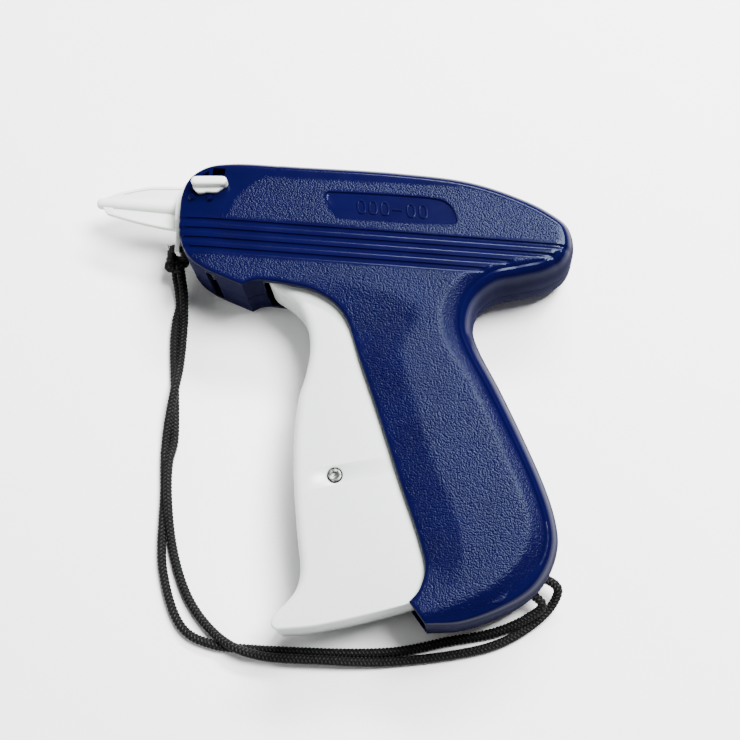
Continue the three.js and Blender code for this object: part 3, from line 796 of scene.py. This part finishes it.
def shell_skin(outline, face):
    """Outer face with relief, rounded border, wall, rim and plain inner face."""
    inner = outline.shifted(outline.border)
    edge_depth = face.depth(inner)
    strap = smoothstep(3.7, 4.3, outline.border)
    low = np.where(outline.open, CEILING, RIM)
    fall = np.where(outline.open, 0.96, outline.border * BORDER_RISE)
    fall = np.minimum(fall, THICK - edge_depth - low - np.where(outline.open, 0.05, 0.3))

    rings = [(outline.xy, low)]
    for angle in np.linspace(0, math.pi / 2, 11):
        shift = outline.border * (1 - math.cos(angle))
        swell = STRAP_SWELL * strap * math.sin(2 * angle) ** 2
        crease = crease_depth(strap, outline.border - shift)
        z = THICK - edge_depth - fall * (1 - math.sin(angle)) - crease + swell
        rings.append((outline.shifted(shift), z))

    flat, triangles = triangulate(inner, face.lines(), face.dots(), 0.95)
    strap_near = np.array([strap[np.argmin(np.hypot(*(inner - p).T))] for p in flat])
    crease = crease_depth(strap_near, np.maximum(ring_distance(flat, inner), 0))
    cover = (np.column_stack([flat, THICK - face.depth(flat) - crease]), triangles)

    wall = np.where(outline.open, 0.12, WALL)
    lining = [(outline.xy, low), (outline.shifted(wall), low)]
    for angle in np.linspace(0, math.pi / 2, 4):
        extra = np.where(outline.open, 0.1 + 0.2 * angle, outline.border * (1 - math.cos(angle)))
        drop = np.where(outline.open, 0, outline.border * BORDER_RISE * (1 - math.sin(angle)))
        lining.append((outline.shifted(wall + extra), CEILING - drop))
    return [stack_rings(rings), cover, stack_rings(lining), flat_face(lining[-1][0], CEILING)]


def panel_glyphs():
    """Plain raised loops and a dash, in place of the panel's lettering."""
    width, low, high = 0.7, THICK - PANEL_DEPTH - 0.4, THICK - PANEL_DEPTH + 0.5
    half_width, half_height, squareness, lean = 1.15, 2.1, 0.75, 0.16
    found = []
    turn = np.arange(28) / 28 * 2 * np.pi
    for x in (10.1, 13.8, 17.5, 25.8, 29.6):
        u = half_width * np.sign(np.cos(turn)) * np.abs(np.cos(turn)) ** squareness
        v = half_height * np.sign(np.sin(turn)) * np.abs(np.sin(turn)) ** squareness
        loop = np.stack([x + u - lean * v, 59.5 - 0.02 * (x - 20) + v], 1)
        found.append(stroke(loop, width, low, high, closed=True))
    dash = [(x, 59.3) for x in (20.1, 20.9, 22.3, 23.1)]
    return found + [stroke(dash, width, low, high, closed=False)]


def inner_bosses():
    """Screw bosses, pivot bosses, the spring's post and the slide's rails inside a half shell."""
    top = CEILING + 0.5
    return [post(at, 3.6, RIM, top) for at in SCREWS] + [
        post(TRIGGER_PIVOT, 4.4, THICK - 3.9, top),
        post(FEED_AXLE, 3.2, THICK - 10, top),
        post(PAWL_PIVOT, 2.7, THICK - 11, top),
        post((66, 50), 2, RIM, top),
        box((2.5, 53.6, THICK - 8.8), (52, 54.9, top)),
        box((-9, 66.6, THICK - 8.8), (52, 67.8, top)),
    ]


def common_cuts():
    """The clip slot over and under the nose, the muzzle and the pins' bores."""
    front, back, muzzle = -37.4, -34.2, 4.3
    return [
        box((front, 66, 7), (back, 78, 23)),
        box((front, 28, 7), (back, 42, 25.4)),
        box((-52, AXIS_Y - muzzle, MID - muzzle), (-42, AXIS_Y + muzzle, MID + muzzle)),
        post(TRIGGER_PIVOT, 2.3, RIM, THICK - 1.2),
        post(FEED_AXLE, 1.8, RIM, THICK - 2.6),
        post(PAWL_PIVOT, 1.5, RIM, THICK - 2.6),
    ]


def paint_shell(obj, face):
    """Stores where the shell is grained, and where it is an upright wall."""
    co = np.array([v.co for v in obj.data.vertices]) / MM
    from_middle = np.abs(co[:, 2] - MID)
    upright = 1 - smoothstep(0.1, 0.6, np.abs([v.normal.z for v in obj.data.vertices]))
    store(obj, "grain", np.where(from_middle > MID - 4.5, face.grain(co[:, :2]), 0))
    store(obj, "wall", np.maximum(upright, 1 - smoothstep(3, 7, from_middle)))


def make_shell(name, left, material, cuts):
    """The half above the parting plane; the right one is its mirror image."""
    outline = Outline(HOUSING, 0.55)
    face = Face(outline.shifted(outline.border), DETENTS if left else [])
    obj = solid_object(name, shell_skin(outline, face), material)
    combine(obj, inner_bosses() + panel_glyphs(), "UNION")
    combine(obj, common_cuts() + cuts, "DIFFERENCE")
    paint_shell(obj, face)
    if not left:
        obj.data.transform(Matrix.Translation((0, 0, THICK * MM)) @ Matrix.Diagonal((1, 1, -1, 1)))
        obj.data.flip_normals()
    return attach(obj, "housing")


def make_shells(material):
    """Windows and the lever's hole on the left; screw and cord holes on the right."""
    left_cuts = [
        box((-38.3, 66.9, 20), (-34.4, 69.7, 40)),
        prism([(-41.9, 67), (-39.6, 67), (-39.6, 68.7)], 20, 40),
        post(LEVER_PIVOT, 2.2, 20, 40),
    ]
    start, end, bore, head = RIM - 5, THICK + 5, 1.5, 2.8
    left_cuts += [post(at, bore, start, 23.4) for at in SCREWS]
    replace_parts(make_shell("left_shell", True, material, left_cuts), "left_housing")
    stepped = [(0, start), (bore, start), (bore, CEILING), (head, CEILING), (head, end), (0, end)]
    right_cuts = [lathe(stepped, (*at, 0), UPWARDS) for at in SCREWS]
    right_cuts += [
        bar((80.6, -64.3, THICK - 8), (70.2, -52.9, THICK - 8), 2),
        bar((71.2, -50.1, THICK - 8), (84, -51.4, THICK - 8), 2),
    ]
    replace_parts(make_shell("right_shell", False, material, right_cuts), "right_housing")


# ---------- trigger ----------
TRIGGER = [  # open where it is inside the housing
    stretch([(-6, 56.4), (-10.6, 54.4), (-12.4, 50), (-13.5, 45.5), (-17, 41.5), (-18.6, 37.5, 0.6)],
            0.3, is_open=True),
    stretch([(-18.6, 37.5, 0.6), (-16.6, 33.6, 2.4), (-12, 30.6), (-7.6, 27.2), (-4.4, 22.3), (-2.7, 17),
             (-2.2, 11.5), (-2.9, 4.5), (-4.2, -2), (-4.5, -11.6), (-3.8, -22.6), (-2.6, -32),
             (-0.2, -45.6), (1.3, -53), (1.7, -57, 2.8), (0.9, -61.4, 2.2), (-1.7, -65.6, 1.6),
             (-4.9, -69.8, 1), (-5.3, -72.4, 0.8), (-3.6, -73.7, 0.8)], 3),
    stretch([(-3.6, -73.7), (7.3, -71.8), (22, -67.4, 0.6), (36.4, -62.3, 0.3)]),
    stretch([(36.4, -62.3), (39.2, -57), (40.2, -51), (38, -43), (31, -26.5), (23.8, -8), (16.6, 10),
             (12.4, 21), (7.4, 31), (2, 43), (0.4, 50), (-1.4, 54.4), (-6, 56.4)], 0.3, is_open=True),
]
TRIGGER_HALF = 10.0
TRIGGER_WALL = 2.4
TRIGGER_SHARP = 40  # degrees
LINK = (9.4, -26)
LINK_HOLE, LINK_FLARE, FLARE_DEPTH = 2.45, 3, 0.45


def make_trigger(material):
    """A hollow moulding that is open towards the housing."""
    outline = Outline(TRIGGER, 0.6)
    low, high = MID - TRIGGER_HALF, MID + TRIGGER_HALF
    body = slab(outline, low, high, outline.border, outline.border, 9)
    obj = solid_object("trigger_body", body, material, TRIGGER_SHARP)
    pocket = outline.shifted(TRIGGER_WALL)[~outline.open]
    pocket = pocket[ring_distance(pocket, outline.xy) > TRIGGER_WALL - 0.1]
    pocket = [*map(tuple, pocket), (48, -60), (48, 62), (-26, 62), (-26, 39)]
    combine(obj, [prism(pocket, low + TRIGGER_WALL, high - TRIGGER_WALL)], "DIFFERENCE", TRIGGER_SHARP)
    end = [(0, 1), (LINK_FLARE, 1), (LINK_FLARE, 0.01), (LINK_HOLE, -FLARE_DEPTH)]
    flared = [(r, low - z) for r, z in end] + [(r, high + z) for r, z in end[::-1]]
    holes = [lathe(flared, (*LINK, 0), UPWARDS, 48), post(TRIGGER_PIVOT, 2.3, 0, THICK)]
    combine(obj, holes, "DIFFERENCE", TRIGGER_SHARP)
    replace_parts(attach(obj, "trigger"), "trigger")


def make_link_pin(material):
    """A rivet whose cut ends are upset and dimpled."""
    top, roughness = MID + TRIGGER_HALF - 0.2, 0.035
    end = [(0, -0.34), (0.5, -0.28), (0.95, -0.2), (1.2, 0), (1.75, 0), (2.0, -0.08), (2.0, -0.3)]
    profile = [(r, THICK - top - z) for r, z in end] + [(r, top + z) for r, z in end[::-1]]
    verts, faces = lathe(profile, (*LINK, 0), UPWARDS)
    verts[:, 2] += rng.normal(0, roughness, len(verts))
    obj = solid_object("link_rivet", [(verts, faces)], material)
    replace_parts(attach(obj, "trigger"), "link_pin")


# ---------- screws, spring and needle ----------
def make_screws(material):
    """Pan-head screws with a cross recess, each left at its own angle."""
    head = [(0, 0.5), (1.5, 0.52), (2.05, 0.68), (2.33, 0.95), (2.4, 1.3), (2.4, 1.9), (1.15, 1.95)]
    core, crest, pitch = 1.0, 1.35, 0.9
    half, arm, recess_end = 0.28, 1.25, 1.4
    thread = []
    for turn in np.arange(2.4, 19.6, pitch):
        thread += [(core, turn), (crest, turn + 0.4), (core, turn + 0.8)]
    profile = head + thread + [(core, 20), (0, 21.5)]
    for i, (x, y) in enumerate(SCREWS, 1):
        obj = solid_object(f"screw_{i}", [lathe(profile, (x, y, 0), UPWARDS, 36)], material, 30)
        cross = []
        for quarter in range(4):
            a = 0.5 + i * 0.8 + quarter * math.pi / 2
            for side, reach in ((-half, half), (-half, arm), (half, arm)):
                cross.append((x + reach * math.cos(a) - side * math.sin(a),
                              y + reach * math.sin(a) + side * math.cos(a)))
        combine(obj, [prism(cross, 0, recess_end)], "DIFFERENCE", 30)
        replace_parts(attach(obj, "housing"), f"housing_screw_{i}")


def make_spring(material):
    """An extension spring between the drive lever's ear and the post in the body."""
    start, end = np.array((42.6, 42.2, MID)), np.array((63.2, 49.1, MID))
    length = np.linalg.norm(end - start)
    axis, up = (end - start) / length, np.array(UPWARDS)
    across = np.cross(axis, up)
    coil, wire, turns = 2.3, 0.36, 20
    t = np.linspace(0, 1, turns * 20)
    reach = coil * smoothstep(0, 0.04, t) * smoothstep(0, 0.04, 1 - t)
    angle = t * turns * 2 * np.pi
    along = 1.0 + (length - 2.0) * t
    line = (start + along[:, None] * axis + (reach * np.cos(angle))[:, None] * across
            + (reach * np.sin(angle))[:, None] * up)
    line = np.vstack([start + 0.1 * axis, start + 0.5 * axis, line, end - 0.5 * axis, end - 0.1 * axis])
    obj = new_object("spring", *round_tube(line, wire, 10), material)
    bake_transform(obj)
    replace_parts(obj, "return_spring")


def make_needle(material):
    """A hollow needle, slit along its lower side, with a slanted point."""
    outer, inner, slit = 1.2, 0.8, 0.35
    gap_out, gap_in = math.asin(slit / outer), math.asin(slit / inner)
    arc = np.linspace(-math.pi / 2 + gap_out, 1.5 * math.pi - gap_out, 40)
    back = np.linspace(1.5 * math.pi - gap_in, -math.pi / 2 + gap_in, 34)
    section = [(outer * math.cos(a), outer * math.sin(a)) for a in arc]
    section += [(inner * math.cos(a), inner * math.sin(a)) for a in back]
    section = np.array(section)
    slant = 1.5 * (1 - section[:, 1] / outer)
    rows = [np.column_stack([x + lean * slant, AXIS_Y + section[:, 1], MID + section[:, 0]])
            for x, lean in ((-75, 1.0), (-71, 0.0), (-60, 0.0), (-50, 0.0), (-40.2, 0.0))]
    faces = ring_faces(len(rows), len(section)) + end_faces(len(rows), len(section))
    obj = solid_object("hollow_needle", [(np.vstack(rows), faces)], material, 30)
    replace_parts(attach(obj, "housing"), "needle")


# ---------- lock lever ----------
LEVER_LOBE = [(-44.1, 63.6), (-43.8, 62.2), (-42.9, 61.1), (-41.9, 60.5), (-40.6, 60.5), (-39.2, 60.9),
              (-37.4, 60.9), (-36, 61.1), (-35.1, 61.8), (-34.2, 62.6), (-33.6, 63.6), (-38, 64.2),
              (-44.1, 63.6)]


def make_lock_lever(material):
    """A raised grip on a flat lobe, with its stem through the shell."""
    base, top = THICK + 0.3, THICK + 4.2
    ring = capsule((-42.8, 63.6), (-34.3, 64.2), 1.45)
    grip = Outline([stretch([*ring, ring[0]])], 0.25)
    obj = solid_object("lever_grip", slab(grip, base, top, 0.15, 0.95, 8), material, 40)
    lobe = Outline([stretch(LEVER_LOBE)], 0.25)
    combine(obj, slab(lobe, base + 0.02, base + 1.35, 0.1, 0.5, 6), "UNION", 40)
    combine(obj, [post(LEVER_PIVOT, 1.9, 18.4, base + 0.8)], "UNION", 40)
    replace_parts(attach(obj, "lock_lever"), "lock_lever")


# ---------- needle cap and knot ----------
CAP_FINS = [
    stretch([(-49.6, 67.9), (-60.4, 67.3), (-65, 66.2), (-71, 64.4), (-75.4, 62.2)]),
    stretch([(-75.4, 62.2), (-75.9, 60.3), (-75.4, 58.4), (-74, 56.8)]),
    stretch([(-74, 56.8), (-65.7, 54.9), (-56.2, 53.3), (-49.6, 52.6)]),
    stretch([(-49.6, 52.6), (-49.6, 60), (-49.6, 67.9)]),
]
CAP_POCKETS = [  # sunk into both sides of the fins, above and below the column
    [(-70.2, 61), (-50.6, 61), (-50.6, 66.9), (-60.3, 66.4), (-64.9, 65.3), (-69.3, 63.9)],
    [(-72, 60), (-72.6, 57.5), (-65.5, 55.8), (-56, 54.2), (-50.6, 53.6), (-50.6, 60)],
]
CAP_FLANGE = [
    stretch([(-50, 44.8), (-48.6, 44.8)]),
    stretch([(-48.6, 44.8), (-48.3, 53), (-48.3, 60.6), (-47.1, 65.2), (-46.5, 66.7)]),
    stretch([(-46.5, 66.7), (-47.5, 67.6)]),
    stretch([(-47.5, 67.6), (-49, 65.4), (-50.5, 61), (-50.4, 57), (-49.9, 52), (-50, 44.8)]),
]
FLANGE_HALF = 7
# Half of the flange from the front, as (half width, y): wide behind the fins, then the lanyard's tongue.
FLANGE_SIDE = [(FLANGE_HALF, 70), (FLANGE_HALF, 56), (6.7, 54), (5.6, 52), (3.8, 50.6), (2.9, 49.4),
               (2.6, 48), (2.6, 45.8), (2.0, 44.9)]


def mesh_parts(obj):
    """An object's mesh as (verts, faces) in millimetres; the object is removed."""
    verts = np.array([v.co for v in obj.data.vertices]) / MM
    faces = [tuple(p.vertices) for p in obj.data.polygons]
    bpy.data.objects.remove(obj)
    return verts, faces


def make_needle_cap(material):
    """A round column with flat fins and a flange, bored for the needle and for the lanyard's loop."""
    along, centre = (1, 0, 0), (0, AXIS_Y, MID)
    column = [(0, -78), (0.7, -77.97), (1.2, -77.8), (1.55, -77.45), (1.8, -76.9), (1.9, -76.2), (2.3, -62),
              (2.75, -49.3), (0, -49.3)]
    obj = solid_object("cap_column", [lathe(column, centre, along, 48)], material, 40)
    half, depth, reach = 1.2, 0.3, 1
    fins = solid_object("fins", slab(Outline(CAP_FINS, 0.5), MID - half, MID + half, 0.3, 0.3, 4), material)
    starts = (MID - half + depth - reach, MID + half - depth)
    sunk = [prism(points, low, low + reach) for points in CAP_POCKETS for low in starts]
    combine(fins, sunk, "DIFFERENCE")
    combine(obj, [mesh_parts(fins)], "UNION", 40)
    sheet = slab(Outline(CAP_FLANGE, 0.4), MID - FLANGE_HALF, MID + FLANGE_HALF, 0.35, 0.35, 5)
    flange = solid_object("flange", sheet, material)
    outline = [(-half_width, y) for half_width, y in FLANGE_SIDE] + FLANGE_SIDE[::-1]
    front, faces = prism(outline, -55, -40)
    combine(flange, [([(x, y, MID + across) for across, y, x in front], faces)], "INTERSECT")
    combine(obj, [mesh_parts(flange)], "UNION", 40)
    bore = [(0, -75.8), (1.5, -75.4), (1.75, -44), (0, -44)]
    holes = [lathe(bore, centre, along), bar((-53, 47, MID), (-46, 47, MID), 1.4)]
    combine(obj, holes, "DIFFERENCE", 40)
    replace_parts(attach(obj, "needle_cap"), "needle_cap")


def make_knot(material):
    """A tight knot with the loop that ties it to the cap's tongue and one frayed end."""
    t = np.linspace(0, 2 * np.pi, 100)
    trefoil = [np.sin(t) + 2 * np.sin(2 * t), np.cos(t) - 2 * np.cos(2 * t), -1.4 * np.sin(3 * t)]
    body = np.array((-50.4, 44.4, 7.6)) + np.stack(trefoil, 1) * np.array((0.8, 0.72, 0.85))
    turns = np.linspace(0, 2 * np.pi * 1.4, 60)
    ball = np.array((-52.3, 42.7, 8.2)) + np.stack(
        [0.75 * np.cos(turns), 0.75 * np.sin(turns), np.linspace(-0.9, 0.9, 60)], 1)
    loop = catmull_rom([(-51.8, 44.6, 9.0), (-52.0, 46.3, 11.4), (-51.2, 47.0, 13.4), (-49.3, 47.0, 14.0),
                        (-48.0, 46.6, 13.2), (-47.9, 45.4, 11.2), (-48.8, 44.4, 9.0)], 0.3)
    stub = catmull_rom([(-51.6, 43.9, 9.4), (-52.4, 45.8, 9.8), (-52.6, 47.2, 10.0)], 0.3)
    tubes = [braided_tube(*part) for part in ((body, 1.4), (ball, 1.4), (loop, 0.9), (stub, 1.05))]
    fray = []
    for _ in range(18):
        root = np.array((-52.6, 47.0, 10.0)) + (*rng.normal(0, 0.3, 1), 0, *rng.normal(0, 0.3, 1))
        reach = rng.uniform(1.0, 2.6)
        tip = root + np.array((rng.normal(0.1, 0.35), 1.0, rng.normal(0, 0.35))) * reach
        middle = (root + tip) / 2 + (rng.normal(0, 0.2), 0, rng.normal(0, 0.2))
        strand = catmull_rom([root, middle, tip], 0.25)
        fray.append(round_tube(strand, np.linspace(0.14, 0.05, len(strand)), 6))
    obj = braided_object("knot", tubes, material, fray)
    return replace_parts(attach(obj, "needle_cap"), "cord_knot")


def make_lanyard(material):
    """The cord with its knot, blended from the housing to the cap that it is tied to."""
    knot = make_knot(material)
    line = catmull_rom(CORD_ROUTE, 1.0)
    line[:, 2] = np.maximum(line[:, 2], CORD_REST)
    obj = braided_object("lanyard", [braided_tube(line, CORD_DIAMETER / 2)], material)
    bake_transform(obj)
    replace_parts(obj, "lanyard_cord")


# ---------- the run ----------
def dress_cad(materials):
    """Gives each CAD piece that stays its material."""
    for entry in frame["record"]["subparts"]:
        node = frame["nodes"][entry["node"]]
        if not node.hide_render:
            node.data.materials.clear()
            node.data.materials.append(materials[entry["material_slot"]])


make_camera()
make_floor()
make_lights()

black = braid_black()
blue = shell_blue()
white = white_plastic("trigger_white", (0.56, 0.60, 0.575))
cap_white = white_plastic("cap_white", (0.66, 0.70, 0.66), 0.34)
steel = metal("steel", (0.42, 0.43, 0.44), 0.32)
pin_grey = metal("pin_grey", (0.20, 0.21, 0.20), 0.4, 0.6)

make_lanyard(black)
make_shells(blue)
make_trigger(white)
make_link_pin(pin_grey)
make_screws(steel)
make_spring(steel)
make_needle(steel)
make_lock_lever(cap_white)
make_needle_cap(cap_white)
steels = dict.fromkeys(("steel", "needle_steel", "spring_steel"), steel)
dress_cad({"inner_white": white, "pin_grey": pin_grey, **steels})
